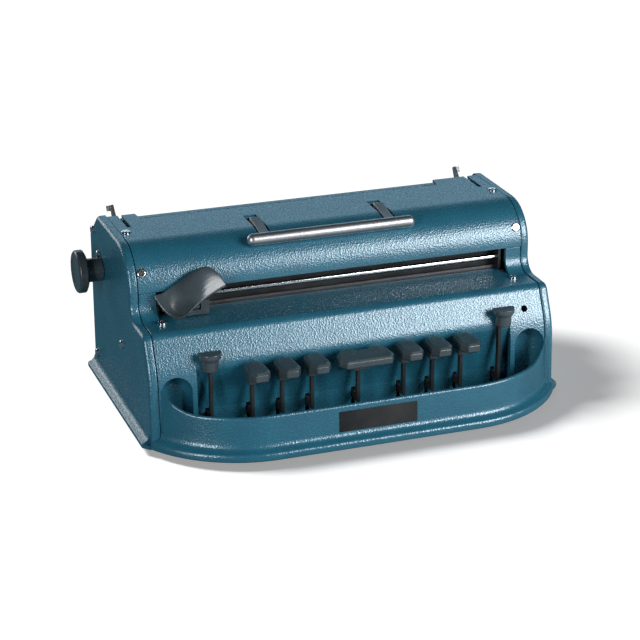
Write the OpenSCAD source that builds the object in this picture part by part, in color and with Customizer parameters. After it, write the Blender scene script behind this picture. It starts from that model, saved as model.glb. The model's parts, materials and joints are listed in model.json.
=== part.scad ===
// Manual braille writer: nine keys, embossing carriage, paper feed and folding handle.
// Millimetres, +Z up, keys towards -Y. Origin: table level, under the middle of the body.

/* [Body] */
// Width over the two end panels
body_w = 345; // [320:1:380]
// Depth over the front skirt's flange and the end panels' rear edge
body_d = 232; // [225:1:240]
// Height of the cover's top above the table
top_z = 149; // [147:0.5:151]
// Thickness of a cast end panel
panel_t = 7.5; // [6:0.5:9]
// Radius that rounds the outer edge of an end panel
rim_r = 3.5; // [2.5:0.5:5]
// Wall of the front housing
wall = 3.5; // [3:0.25:4]
// Wall of the pressed covers
sheet = 2; // [1.5:0.25:2.5]
// Joint gap between neighbouring covers
seam = 0.4; // [0.3:0.1:0.6]
// Height of the rubber feet
foot_h = 6; // [5:0.5:8]
// Radius of a rubber foot
foot_r = 9; // [7:0.5:11]

/* [Front] */
// Height of the shelf between the hump and the slot
shelf_z = 94.5; // [93:0.5:95.5]
// Distance of the hump's front face behind the skirt's flange
face_in = 51.5; // [51:0.25:53]
// Radius of the skirt's corners, at the flange
skirt_r = 104; // [102:0.5:105]
// Width of the skirt's flange outside its wall
flange_out = 8; // [7:0.5:9]
// Height of the skirt's lip
lip_z = 40; // [37:0.5:42]
// Half width over which the lip is level
lip_half = 141; // [138:0.5:143]
// Radius by which the lip rises at each end
lip_rise_r = 25; // [23:0.5:26]
// Radius of the arched pockets at the trough's ends
scoop_r = 13; // [12:0.25:13.25]
// Height of the slots that the key levers pass through
gate_z = 29; // [28:0.5:31]

/* [Slot] */
// Half width of the carriage slot
slot_half = 151; // [150.5:0.25:152]
// Height of the slot above the shelf
slot_h = 20.5; // [20:0.25:21]
// Rail that carries the carriage, radius
rail_r = 2.3; // [2:0.1:2.5]
// Running clearance of shafts and rails, on the radius
run = 0.05; // [0.03:0.01:0.08]

/* [Keys] */
// Spacing of neighbouring dot keys
dot_pitch = 24.9; // [24:0.1:25.2]
// Distance of the innermost dot key from the space key
first_dot = 39.2; // [38:0.2:40]
// Distance of the two end keys from the space key
end_key = 122.7; // [121:0.1:124]
// Height of a key lever above the table
lever_z = 20.5; // [20:0.25:21.5]
// Depth of a key lever's flat bar
lever_h = 6; // [5:0.25:6.5]
// Thickness of a key lever
lever_t = 2.5; // [2:0.25:2.75]
// Height of the dot keys' top faces
dot_top = 68; // [67:0.25:69]
// Height of the end keys' top faces
end_top = 80; // [78:0.5:81]
// Radius of the shaft that the key levers turn on
fulcrum_r = 3; // [2.5:0.25:3.25]

/* [Carriage] */
// Width of the carriage block
carriage_w = 36; // [32:1:40]
// Distance of the carriage block's middle from the slot's end, at the left margin
carriage_in = 23; // [22.5:0.25:25]
// Length of the thumb saddle on the carriage
saddle_len = 50; // [48:1:52]

/* [Paper feed] */
// Radius of the feed knobs
knob_r = 17.8; // [16:0.2:20]
// Distance of a knob's outer face from the end panel
knob_out = 22.5; // [21:0.5:25]
// Radius of the feed shaft
feed_shaft_r = 4; // [3.5:0.25:4.5]
// Radius of the feed roller's rubber sleeves
sleeve_r = 12; // [11:0.25:12.5]
// Teeth on the line spacing ratchet
ratchet_teeth = 20; // [16:1:24]

/* [Handle] */
// Length of the handle's grip bar
grip_len = 144; // [136:1:150]
// Radius of the grip bar
grip_r = 5; // [4.5:0.1:5.5]
// Distance between the two straps
strap_span = 108; // [100:1:112]
// Width of a strap
strap_w = 8; // [6:0.5:9]

/* [Hidden] */
$fn = 48;

PAINT = [0.16, 0.38, 0.46];
PAINT_LIGHT = [0.24, 0.46, 0.55];
DARK_PLASTIC = [0.22, 0.24, 0.26];
STEEL = [0.74, 0.75, 0.77];
BLACK_STEEL = [0.08, 0.08, 0.09];
RUBBER = [0.12, 0.12, 0.12];
BRASS = [0.78, 0.62, 0.30];

// Overlap that lets one cut break through a face
cut = 1;
// Pieces that lie on each other without a joint keep this gap
rest_gap = 0.3;
arc_steps = 10;

half_w = body_w / 2;
front_y = -body_d / 2;
rear_y = body_d / 2;
inner_half = half_w - panel_t - seam;
base_z = foot_h;
face_y = front_y + face_in;
slot_y = face_y + 54.3;
slot_top_z = shelf_z + slot_h;

// Outline of the body seen from the left: [y, z, corner radius], anticlockwise
crest_r = top_z - slot_top_z;
crest_y = slot_y + crest_r;
crest_z = slot_top_z;
chamfer_z = top_z - 22;
chamfer_y = rear_y - 26;
hump_y = face_y + 17.5;
brow_y = face_y + 3;
brow_z = shelf_z - 30.5;
fillet_r = 13;
profile = [
    [face_y, base_z, 1],
    [rear_y, base_z, 2],
    [rear_y, chamfer_z, 6],
    [chamfer_y, top_z, 8],
    [slot_y, top_z, crest_r],
    [slot_y, shelf_z, fillet_r],
    [hump_y, shelf_z, 8],
    [brow_y, brow_z, 60]];

// Skirt
skirt_wall_r = skirt_r - flange_out;
corner_x = inner_half - 0.7 - sqrt(pow(skirt_wall_r, 2) - pow(skirt_r - face_in, 2));
corner_y = front_y + skirt_r;
skirt_t = 4;
flange_top_z = base_z + 7;
wall_foot_z = base_z + 12;
wall_lean = atan2(0.9, lip_z - 2 - wall_foot_z);
end_lip_z = lip_z + lip_rise_r;
scoop_x = inner_half - scoop_r - 1.1;
scoop_z = lip_z + 9.5;
scoop_depth = 16;
gate_half = end_key + 11;

// Carriage way
frame_t = 2.2;
frame_x = slot_half - 4;
carriage_x = carriage_in - slot_half;
rail_y = slot_y + 12.2;
rail_z = shelf_z + 10;
back_plate_y = rail_y + 5;
back_plate_t = 1.5;
carriage_front_y = slot_y - 1.8;
carriage_back_y = rail_y + rail_r + 1.5;
carriage_low_z = shelf_z + 4;
carriage_top_z = slot_top_z - 3;
cell = 6.2;

// Keys
stem_y = face_y + 2.5;
fulcrum_y = rear_y - 36;
fulcrum_z = lever_z + lever_h / 2;
stem_d = 4.5;
tail = 12;
dot_low = dot_top - 17.5;
end_low = end_top - 15;
// The back key stands a little higher than the line key, and its button sits outwards of its stem
back_rise = 4;
back_aside = 4;
comb_y = face_y + 19;
comb_t = 3;
comb_gap = 0.4;
key_x = [-end_key, -first_dot - 2 * dot_pitch, -first_dot - dot_pitch, -first_dot, 0,
    first_dot, first_dot + dot_pitch, first_dot + 2 * dot_pitch, end_key];

// Paper feed
feed_y = rear_y - 39;
feed_z = top_z - 42;
tube_r = sleeve_r - 2;
tube_half = frame_x - 3.5;
sleeve_half = 9;
sleeve_x = [-tube_half + 16, -tube_half / 3, tube_half / 3, tube_half - 16];
hub_r = 9.8;
knob_t = 8.5;
lever_x = half_w - 18.1;
release_t = 2.4;
pinch_r = 6;
pinch_y = feed_y;
pinch_z = feed_z + sleeve_r + pinch_r + rest_gap;
pinch_rod_r = 2.5;
pinch_rod_y = feed_y - 21;

// Handle
grip_angle = 128.8;
grip_reach = crest_r + grip_r + rest_gap;
grip_y = crest_y + grip_reach * cos(grip_angle);
grip_z = crest_z + grip_reach * sin(grip_angle);
elbow_y = crest_y + 13;
elbow_z = top_z + 3;
pivot_y = elbow_y - 1.2;
pivot_z = top_z - 8;
pivot_r = 2;
strap_t = 2.5;
strap_slot_end = elbow_y + 12;
cover_rear_y = rear_y - 45.5;
tab_len = 13.5;
notch_left = half_w - 32.5;
notch_right = half_w - 50.5;
slit_y = rear_y - 63.4;
margin_y = cover_rear_y + 8.5;
margin_z = top_z - 15;

function unit(v) = v / norm(v);
function left_of(v) = [-v[1], v[0]];
function flat(v) = [v[0], v[1]];

// The corner at b, moved inwards with its two sides
function moved(a, b, c, inset) =
    let (n = left_of(unit(b - a)), m = left_of(unit(c - b)))
    b + inset * (n + m) / (1 + n * m);

// Points of an arc of radius r that touches the sides meeting at b
function corner_arc(a, b, c, r) =
    let (u = unit(a - b), w = unit(c - b),
        half = acos(u * w) / 2,
        centre = b + unit(u + w) * r / sin(half),
        start = b + u * r / tan(half) - centre,
        stop = b + w * r / tan(half) - centre,
        first = atan2(start[1], start[0]),
        turn = atan2(cross(start, stop), start * stop))
    [for (i = [0:arc_steps]) centre + r * [cos(first + turn * i / arc_steps), sin(first + turn * i / arc_steps)]];

// An outline of [y, z, radius] corners, moved inwards, with round corners
function outline(corners, inset) =
    let (last = len(corners) - 1,
        at = [for (i = [0:last]) moved(flat(corners[(i + last) % (last + 1)]), flat(corners[i]),
            flat(corners[(i + 1) % (last + 1)]), inset)])
    [for (i = [0:last])
        let (a = at[(i + last) % (last + 1)], b = at[i], c = at[(i + 1) % (last + 1)],
            convex = cross(b - a, c - b) > 0,
            r = max(0.2, corners[i][2] + (convex ? -inset : inset)))
        each corner_arc(a, b, c, r)];

// Draws a y-z outline across the machine, centred on x
module across(width) {
    rotate([90, 0, 90])
        translate([0, 0, -width / 2])
            linear_extrude(width)
                children();
}

module at_both_ends() {
    children();
    mirror([1, 0, 0]) children();
}

// A rod along x
module rod(x0, x1, y, z, r) {
    translate([x0, y, z]) rotate([0, 90, 0]) cylinder(r = r, h = x1 - x0);
}

// Faces that close a ring of points: one, a fan from one point, or a strip between two equal runs
function whole(count) = [[for (j = [0:count - 1]) j]];
function fan(count, hub) = [for (j = [1:count - 2]) [hub, (hub + j) % count, (hub + j + 1) % count]];
function strip(count) = [for (i = [0:count / 2 - 2]) [i, i + 1, count - 2 - i, count - 1 - i]];

// A solid through rings of points with equal counts, closed by the end faces
module skin(rings, ends) {
    count = len(rings[0]);
    last = len(rings) - 1;
    sides = [for (i = [0:last - 1], j = [0:count - 1])
        let (k = (j + 1) % count)
        each [[i * count + j, (i + 1) * count + j, (i + 1) * count + k],
            [i * count + j, (i + 1) * count + k, i * count + k]]];
    polyhedron([for (ring = rings) each ring],
        concat(ends, sides,
            [for (face = ends) [for (j = [len(face) - 1:-1:0]) last * count + face[j]]]));
}

// ---- End panels ----

module panel_body() {
    rim_steps = 5;
    skin(concat(
        [[for (p = outline(profile, 0)) [half_w - panel_t, p[0], p[1]]]],
        [for (i = [0:rim_steps])
            let (angle = 90 * i / rim_steps, inset = rim_r * (1 - cos(angle)))
            [for (p = outline(profile, inset)) [half_w - rim_r * (1 - sin(angle)), p[0], p[1]]]]),
        fan(len(profile) * (arc_steps + 1), 3 * arc_steps / 2 + 1));
}

// Foot flange along the bottom of the side
module side_flange() {
    reach = 6.3;
    lead = 6;
    translate([0, 0, base_z])
        linear_extrude(3)
            polygon([[half_w - 1, rear_y], [half_w + reach, rear_y], [half_w + reach, face_y + lead],
                [half_w + 1.5, face_y], [half_w - 1, face_y]]);
    translate([0, rear_y, base_z + 3])
        rotate([90, 0, 0])
            linear_extrude(rear_y - face_y - lead)
                polygon([[half_w - 1, 0], [half_w + reach, 0], [half_w + reach - 0.6, 0.8],
                    [half_w + 3, 2], [half_w + 1, 4], [half_w, 7], [half_w - 1, 7]]);
}

// Cast lugs that the top cover is screwed to
module cover_lugs() {
    lug_x = half_w - 17;
    translate([lug_x, 0, 0])
        rotate([90, 0, 90])
            linear_extrude(half_w - panel_t + 0.5 - lug_x)
                intersection() {
                    polygon(outline(profile, sheet));
                    union() {
                        translate([crest_y + 10, top_z - 9]) square([14, 9]);
                        translate([slot_y, crest_z + 8]) square([15, 14]);
                    }
                }
}

module end_panel() {
    difference() {
        union() {
            panel_body();
            side_flange();
            cover_lugs();
            for (s = boss_screw_at) rod(half_w - panel_t - 6, half_w - panel_t + cut, s[0], s[1], 5);
        }
        rod(half_w - panel_t - cut, half_w + cut, feed_y, feed_z, feed_shaft_r + 2);
        for (s = concat(boss_screw_at, rim_screw_at, post_screw_at))
            rod(half_w - 20, half_w + cut, s[0], s[1], screw_r);
        cover_screw_places() translate([0, 0, -8]) cylinder(r = screw_r, h = 20);
    }
}

module left_end_panel() {
    color(PAINT) mirror([1, 0, 0]) end_panel();
}

module right_end_panel() {
    color(PAINT) end_panel();
}

// ---- Front housing ----

// Section of the housing as a filled area, from the floor to the slot's upper edge
module housing_section(inset, back, low, high) {
    polygon(outline([[face_y, low, 1], [back, low, 1], [back, high, 0.5], [slot_y, high, 0.5],
        profile[5], profile[6], profile[7]], inset));
}

module housing_shell() {
    top = slot_top_z - seam;
    difference() {
        across(2 * inner_half) housing_section(0, slot_y + wall, base_z, top);
        across(2 * (inner_half - wall)) housing_section(wall, slot_y + 40, base_z - 20, top + 20);
        translate([-slot_half, slot_y - fillet_r - 3, shelf_z]) cube([2 * slot_half, 40, 40]);
    }
    // Shelf that runs on into the slot
    translate([-slot_half + 0.3, slot_y - fillet_r, shelf_z - wall])
        cube([2 * slot_half - 0.6, fillet_r + 5.5, wall]);
    translate([-frame_x + 0.3, slot_y - fillet_r, shelf_z - wall])
        cube([2 * frame_x - 0.6, fillet_r + 9.5, wall]);
}

// Hollow below the hump's nose, where the key stems stand: the hump's face turns back round the nose
nose_z = brow_z + 4;
nose = [face_y + 5.1, nose_z];
nose_top = [face_y + 10.1, nose_z + 11];
nose_low = [face_y + 12.6, gate_z];
module nose_cut() {
    across(2 * gate_half)
        polygon(concat([[face_y - 3, nose_z + 11], nose_top], corner_arc(nose_top, nose, nose_low, 16),
            [nose_low, [face_y + 12.6, base_z - cut], [face_y - 3, base_z - cut]]));
}

// Metal round that hollow, before it is cut. It ends above the base.
wall_low_z = base_z + sheet + 1;
module nose_wall() {
    intersection() {
        across(2 * gate_half + wall)
            polygon([[face_y - cut, wall_low_z], [face_y - cut, nose_z + 2], [face_y + 9, nose_z + 5],
                [face_y + 12, nose_z + 2], [face_y + 13.2, nose_z - 16], [face_y + 16, gate_z],
                [face_y + 16, wall_low_z]]);
        across(2 * inner_half) housing_section(0, slot_y + wall, base_z, slot_top_z - seam);
    }
}

// Slots that the key levers pass through
module gate_slots() {
    slot_w = lever_t + 1.6;
    for (x = key_x)
        translate([x - slot_w / 2, face_y + 8, base_z - cut]) cube([slot_w, 12, gate_z - base_z + cut]);
}

// One arch of the pocket: [x, z] from foot to foot over a half round
function arch(r) =
    concat([[-r, base_z - cut - scoop_z]], [for (i = [0:12]) r * [cos(180 - 15 * i), sin(15 * i)]],
        [[r, base_z - cut - scoop_z]]);

// Arched pocket that opens forwards and downwards, with a domed end
module scoop(r) {
    end_y = face_y + scoop_depth - scoop_r;
    at_both_ends()
        translate([scoop_x, 0, scoop_z])
            skin(concat([[for (p = arch(r)) [p[0], face_y - cut, p[1]]]],
                [for (i = [0:5]) [for (p = arch(r * cos(15 * i))) [p[0], end_y + r * sin(15 * i), p[1]]]]),
                whole(15));
}

// Wall section of the skirt: [distance from the corner's centre, height]
function skirt_section() = [
    [skirt_wall_r - skirt_t, base_z], [skirt_r - 0.8, base_z], [skirt_r, base_z + 0.8],
    [skirt_r, flange_top_z - 3], [skirt_r - 0.4, flange_top_z - 1.5], [skirt_r - 1.5, flange_top_z - 0.4],
    [skirt_r - 3, flange_top_z], [skirt_wall_r + 3.6, flange_top_z + 0.6], [skirt_wall_r + 2.2, flange_top_z + 1.4],
    [skirt_wall_r + 1.1, wall_foot_z - 2.2], [skirt_wall_r + 0.4, wall_foot_z],
    [skirt_wall_r - 0.5, lip_z - 2], [skirt_wall_r - 0.5, end_lip_z],
    [skirt_wall_r - skirt_t, end_lip_z]];

module skirt_ring() {
    at_both_ends()
        translate([corner_x, corner_y, 0])
            rotate([0, 0, -90])
                rotate_extrude(angle = 75, $fn = 96)
                    polygon(skirt_section());
    translate([-corner_x, corner_y, 0])
        rotate([90, 0, 90])
            linear_extrude(2 * corner_x)
                polygon([for (p = skirt_section()) [-p[0], p[1]]]);
}

// What stays below the lip's line, seen from the front
module lip_limit() {
    reach = half_w + 10;
    rise = [for (i = [0:10]) [lip_half, lip_z + lip_rise_r] + lip_rise_r * [sin(8.6 * i), -cos(8.6 * i)]];
    line = concat([[reach, base_z - cut], [reach, end_lip_z - cut], [lip_half + lip_rise_r, end_lip_z - cut]],
        [for (i = [10:-1:0]) rise[i]], [for (p = rise) [-p[0], p[1]]],
        [[-lip_half - lip_rise_r, end_lip_z - cut], [-reach, end_lip_z - cut], [-reach, base_z - cut]]);
    rotate([90, 0, 0])
        translate([0, 0, -face_y - cut])
            linear_extrude(face_in + 3 * cut)
                polygon(line);
}

module skirt() {
    reach = half_w + 10;
    intersection() {
        skirt_ring();
        lip_limit();
        union() {
            translate([-inner_half, front_y - cut, 0]) cube([2 * inner_half, face_in + 2 * cut, end_lip_z]);
            translate([-reach, front_y - cut, 0]) cube([2 * reach, face_in + cut - seam, end_lip_z]);
        }
    }
}

module front_housing() {
    color(PAINT)
        difference() {
            union() {
                housing_shell();
                nose_wall();
                intersection() {
                    scoop(scoop_r + 2.5);
                    across(2 * inner_half) housing_section(0, slot_y + wall, base_z, slot_top_z - seam);
                }
                skirt();
            }
            nose_cut();
            gate_slots();
            scoop(scoop_r);
            // Hole for the adjusting screw on the hump
            translate([inner_half - 16.3, hump_y - 9, shelf_z - 16])
                rotate([62, 0, 0])
                    cylinder(r = 2.8, h = 16, center = true);
            shelf_screw_places() translate([0, 0, -12]) cylinder(r = screw_r + 0.2, h = 24);
        }
}

// ---- Covers ----

// Arc of points round a centre, from one angle to another
function arc(centre, r, from, to, steps) =
    [for (i = [0:steps]) let (a = from + (to - from) * i / steps) centre + r * [cos(a), sin(a)]];

// Pressed sheet with a quarter round in front and a flat top
module cover_shell() {
    rear = cover_rear_y + tab_len;
    centre = [crest_y, crest_z];
    across(2 * inner_half)
        polygon(concat(arc(centre, crest_r, 180, 90, 20), [[rear, top_z], [rear, top_z - sheet]],
            arc(centre, crest_r - sheet, 90, 180, 20)));
}

module top_cover() {
    color(PAINT_LIGHT)
        difference() {
            cover_shell();
            translate([0, 0, top_z - 5])
                linear_extrude(10)
                    polygon([[-notch_left, cover_rear_y], [notch_right, cover_rear_y],
                        [notch_right + 5, rear_y], [-notch_left - 5, rear_y]]);
            at_both_ends() {
                translate([strap_x - 1.5, grip_y + 3, crest_z + 0.6 * crest_r])
                    cube([strap_w + 3, strap_slot_end - grip_y - 3, crest_r]);
                translate([lever_x - release_t / 2 - 0.5, slit_y, top_z - 5])
                    cube([release_t + 1, body_d, 10]);
            }
            cover_screw_places() {
                translate([0, 0, -10]) cylinder(r = screw_r + 0.2, h = 20);
                translate([0, 0, -0.5]) cylinder(r = screw_head_r + 0.4, h = 10);
            }
        }
}

// Bent sheet that closes the back and stands on the base
module rear_cover() {
    lead_y = chamfer_y + 4;
    outer = rear_y - 2;
    low = base_z + sheet;
    high = top_z - 6;
    bend_z = chamfer_z - 3;
    color(PAINT)
        difference() {
            across(2 * inner_half)
                polygon([[outer, low], [outer, bend_z], [lead_y, high], [lead_y - 6, high],
                    [lead_y - 6, high - sheet], [lead_y - 0.8, high - sheet],
                    [outer - sheet, bend_z - 1], [outer - sheet, low]]);
            at_both_ends()
                translate([lever_x - 3.2, lead_y - 6 - cut, bend_z]) cube([6.4, 40, 40]);
            for (i = [-4:4], row = [0, 1])
                translate([i * 24 - 8, outer - 5, 40 + row * 14]) cube([16, 10, 3]);
        }
}

// Plan of the base: the body's box, a neck between the pockets and the skirt's curve
module base_plan(shrink) {
    r = skirt_wall_r - skirt_t - shrink;
    half = inner_half - wall - shrink;
    neck = gate_half - shrink;
    body_y = face_y + scoop_depth + 3;
    translate([-half, body_y]) square([2 * half, rear_y - body_y - shrink]);
    translate([-neck, face_y - 4]) square([2 * neck, body_y - face_y + 5]);
    intersection() {
        union() {
            for (side = [-1, 1]) translate([side * corner_x, corner_y]) circle(r = r, $fn = 96);
            translate([-corner_x, corner_y - r]) square([2 * corner_x, r]);
        }
        translate([-half, front_y]) square([2 * half, face_in - shrink]);
    }
}

module base_pan() {
    color(BLACK_STEEL)
        difference() {
            translate([0, 0, base_z]) linear_extrude(sheet) base_plan(rest_gap);
            foot_places() translate([0, 0, base_z - cut]) cylinder(r = screw_r + 0.1, h = 10);
        }
}

module label_plate() {
    plate_w = 65.2;
    plate_h = 17;
    color([0.03, 0.03, 0.035])
        translate([0, corner_y - skirt_wall_r - 0.4, wall_foot_z + 0.3])
            rotate([-wall_lean, 0, 0])
                translate([-plate_w / 2, -0.7, 0])
                    cube([plate_w, 0.6, plate_h]);
}

// ---- Feet and screws ----

screw_r = 1.8;
screw_head_r = 3.6;
screw_head_h = 2;
boss_screw_at = [[feed_y + 10.2, feed_z + 8.8]];
rim_screw_at = [[feed_y + 25.9, feed_z + 25.5]];
post_screw_at = [[slot_y + 28.7, 62.6], [rear_y - 12, base_z + 16]];

module foot_places() {
    for (x = [-half_w + 24, half_w - 24], y = [face_y + 18, rear_y - 16])
        translate([x, y, 0]) children();
}

module rubber_feet() {
    color(RUBBER)
        foot_places() {
            difference() {
                cylinder(r1 = foot_r - 1, r2 = foot_r, h = foot_h);
                translate([0, 0, -cut]) cylinder(r = 4, h = foot_h - 2 + cut);
            }
        }
}

// Cheese head with a cross recess, seated on the ground plane
module screw(length) {
    difference() {
        union() {
            cylinder(r = screw_head_r, h = screw_head_h - 0.6);
            translate([0, 0, screw_head_h - 0.6]) cylinder(r1 = screw_head_r, r2 = screw_head_r - 0.9, h = 0.6);
            translate([0, 0, -length]) cylinder(r = screw_r, h = length + 0.2);
        }
        for (turn = [0, 90])
            rotate([0, 0, turn]) translate([-2.2, -0.4, screw_head_h - 1]) cube([4.4, 0.8, 2]);
    }
}

front_screw_angle = 152;
module cover_screw_places() {
    at_both_ends() {
        translate([half_w - 11.7, crest_y + crest_r * cos(front_screw_angle),
            crest_z + crest_r * sin(front_screw_angle)])
            rotate([front_screw_angle - 90, 0, 0])
                children();
        translate([half_w - 12.3, crest_y + 17.2, top_z]) children();
    }
}

module cover_screws() {
    color(STEEL) cover_screw_places() translate([0, 0, -0.5]) screw(5);
}

module shelf_screw_places() {
    at_both_ends()
        translate([slot_half - 0.2, slot_y - 15.7, shelf_z]) children();
}

module shelf_screws() {
    color(STEEL) shelf_screw_places() screw(wall + 2.5);
}

module side_screws() {
    color(STEEL)
        at_both_ends() {
            for (s = boss_screw_at) translate([half_w, s[0], s[1]]) rotate([0, 90, 0]) screw(panel_t + 4);
            for (s = rim_screw_at) translate([half_w, s[0], s[1]]) rotate([0, 90, 0]) screw(panel_t - 1);
            for (s = post_screw_at) translate([half_w, s[0], s[1]]) rotate([0, 90, 0]) screw(panel_t + 8);
        }
}

// ---- Inner frame ----

module frame_plate() {
    low = base_z + sheet;
    lug_z = shelf_z - wall;
    start = slot_y + 5.8;
    stop = rear_y - 12;
    difference() {
        union() {
            translate([frame_x, 0, 0])
                rotate([90, 0, 90])
                    linear_extrude(frame_t)
                        polygon([[start, low], [stop, low], [stop, chamfer_z - 22], [margin_y + 8, top_z - 13],
                            [margin_y + 8, top_z - 8], [margin_y - 8, top_z - sheet - 2],
                            [crest_y, top_z - sheet - 2], [start + 4, slot_top_z + 8], [start, slot_top_z + 4],
                            [start, lug_z], [start - 26, lug_z], [start - 26, lug_z - 5], [start, lug_z - 20]]);
            // Ledge that the housing is screwed to
            translate([frame_x, start - 26, lug_z - 2.5]) cube([12, 14, 2.5]);
            // Foot flange on the base
            translate([frame_x, start, low]) cube([11, stop - start, 2]);
            // Posts that carry the end panel
            for (s = post_screw_at) rod(frame_x, half_w - panel_t, s[0], s[1], 5);
        }
        for (s = post_screw_at) rod(half_w - panel_t - 12, half_w, s[0], s[1], screw_r);
        shelf_screw_places() translate([0, 0, -20]) cylinder(r = screw_r, h = 24);
        rod(frame_x - cut, frame_x + 5, fulcrum_y, fulcrum_z, fulcrum_r);
        rod(frame_x - cut, frame_x + 5, feed_y, feed_z, feed_shaft_r + run);
        rod(frame_x - cut, frame_x + 5, pinch_rod_y, pinch_z, pinch_rod_r);
    }
}

module left_frame_plate() {
    color(STEEL) mirror([1, 0, 0]) frame_plate();
}

module right_frame_plate() {
    color(STEEL) frame_plate();
}

module carriage_rail() {
    color(STEEL) rod(-frame_x, frame_x, rail_y, rail_z, rail_r);
}

module guide_strip() {
    color(STEEL)
        translate([-frame_x, rail_y - 0.6, shelf_z - wall])
            cube([2 * frame_x, 1.4, wall + 2.6]);
}

module slot_back_plate() {
    color(BLACK_STEEL) {
        translate([-frame_x, back_plate_y, shelf_z - wall]) cube([2 * frame_x, back_plate_t, slot_h + wall + 4]);
        for (x = [-108, -50, 10, 70, 110, 116])
            translate([x, back_plate_y, rail_z - 3.5]) rotate([90, 0, 0]) cylinder(r = 1.3, h = 0.6);
    }
}

// Rack of the escapement, one tooth for each cell
module escapement_rack() {
    teeth = floor((2 * frame_x - 8) / cell);
    start = -teeth * cell / 2;
    color(STEEL)
        translate([0, back_plate_y + back_plate_t + 4, shelf_z - 7])
            rotate([90, 0, 0])
                linear_extrude(2)
                    polygon(concat([[frame_x, 0], [frame_x, 9]],
                        [for (i = [teeth - 1:-1:0]) each
                            [[start + (i + 1) * cell, 9], [start + i * cell + 1, 12.5],
                                [start + i * cell, 9]]],
                        [[-frame_x, 9], [-frame_x, 0]]));
}

module key_fulcrum_shaft() {
    color(STEEL) rod(-frame_x - frame_t, frame_x + frame_t, fulcrum_y, fulcrum_z, fulcrum_r);
}

// Comb that keeps the levers apart behind the hump
module key_comb() {
    low = base_z + sheet;
    comb_half = key_x[8] + 9;
    slot_w = lever_t + 2 * comb_gap;
    color(STEEL)
        difference() {
            union() {
                translate([-comb_half, comb_y, low]) cube([2 * comb_half, comb_t, lever_z + lever_h + 6 - low]);
                translate([-comb_half, comb_y, low]) cube([2 * comb_half, 14, 2]);
            }
            for (x = key_x)
                translate([x - slot_w / 2, comb_y - cut, low + 2.5])
                    cube([slot_w, comb_t + 2 * cut, lever_z + lever_h + 1.5 - low - 2]);
        }
}

// Felt-faced bar that the levers' tails rest against
module lever_stop_bar() {
    bar_y = fulcrum_y + tail - 5;
    color(BLACK_STEEL)
        translate([-frame_x, bar_y, lever_z - 4.3]) cube([2 * frame_x, 5, 4]);
}

// Sheet that leads the paper from the slot round the feed roller
module paper_guide() {
    guide_r = sleeve_r + 2;
    lead_y = back_plate_y + back_plate_t + 9;
    color(STEEL)
        across(2 * frame_x) {
            difference() {
                translate([feed_y, feed_z]) circle(r = guide_r + 1, $fn = 96);
                translate([feed_y, feed_z]) circle(r = guide_r, $fn = 96);
                translate([feed_y - 2 * guide_r, feed_z]) square([4 * guide_r, 2 * guide_r]);
            }
            translate([feed_y - guide_r - 1, feed_z]) square([1, 0.5]);
            polygon([[lead_y, shelf_z + 3], [feed_y - guide_r, feed_z - 0.5], [feed_y - guide_r, feed_z + 0.5],
                [lead_y, shelf_z + 4]]);
        }
}

module margin_bar() {
    color(STEEL)
        difference() {
            translate([-frame_x, margin_y - 4, margin_z]) cube([2 * frame_x, 8, 3]);
            for (i = [-20:20]) translate([i * cell - 0.5, margin_y + 3, margin_z - cut]) cube([1, 2, 6]);
        }
}

module pinch_rod() {
    color(STEEL) rod(-frame_x - frame_t, frame_x + frame_t, pinch_rod_y, pinch_z, pinch_rod_r);
}

// Ears under the cover that hold the straps' pins
module handle_pivots() {
    ear_t = 1.6;
    near = (strap_span - strap_w) / 2 - 0.4 - ear_t;
    far = (strap_span + strap_w) / 2 + 0.4;
    ear_top = top_z - sheet;
    color(STEEL)
        at_both_ends() {
            for (x = [near, far]) {
                translate([x, pivot_y - 5, pivot_z - 5]) cube([ear_t, 10, ear_top - pivot_z + 5]);
                translate([x == near ? near - 4 : far, pivot_y - 5, ear_top - 1.2]) cube([4 + ear_t, 10, 1.2]);
            }
            rod(near, far + ear_t, pivot_y, pivot_z, pivot_r);
        }
}

module bell() {
    bell_r = 12;
    color(BRASS)
        translate([(key_x[7] + key_x[8]) / 2, slot_y + 60, base_z + sheet]) {
            cylinder(r = 5, h = 3);
            cylinder(r = 2, h = 22);
            translate([0, 0, 12])
                rotate_extrude($fn = 64)
                    polygon([[0, 8], [5, 7.4], [9, 5], [bell_r - 1, 0], [bell_r, 0], [9.8, 6], [5.4, 8.7], [0, 9.3]]);
        }
}

// ---- Carriage ----

hinge_y = slot_y - 5;
hinge_z = shelf_z + 9;
module carriage_block() {
    x0 = carriage_x - carriage_w / 2;
    depth = carriage_back_y - carriage_front_y;
    color(DARK_PLASTIC)
        difference() {
            union() {
                translate([x0, carriage_front_y, carriage_low_z]) cube([carriage_w, depth, carriage_top_z - carriage_low_z]);
                // Foot that reaches out in front of the slot
                translate([x0 + 8, hinge_y - 4.5, shelf_z + 0.8]) cube([carriage_w - 8, 12, 12]);
            }
            rod(x0 - cut, x0 + carriage_w + cut, rail_y, rail_z, rail_r + run);
            // Seat of the thumb lever and its pin
            translate([x0 + 12, hinge_y - 6, hinge_z - 4]) cube([carriage_w - 19, 10, 14]);
        }
    color(STEEL) rod(x0 + 11, x0 + carriage_w - 6, hinge_y, hinge_z, 1.5);
}

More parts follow.
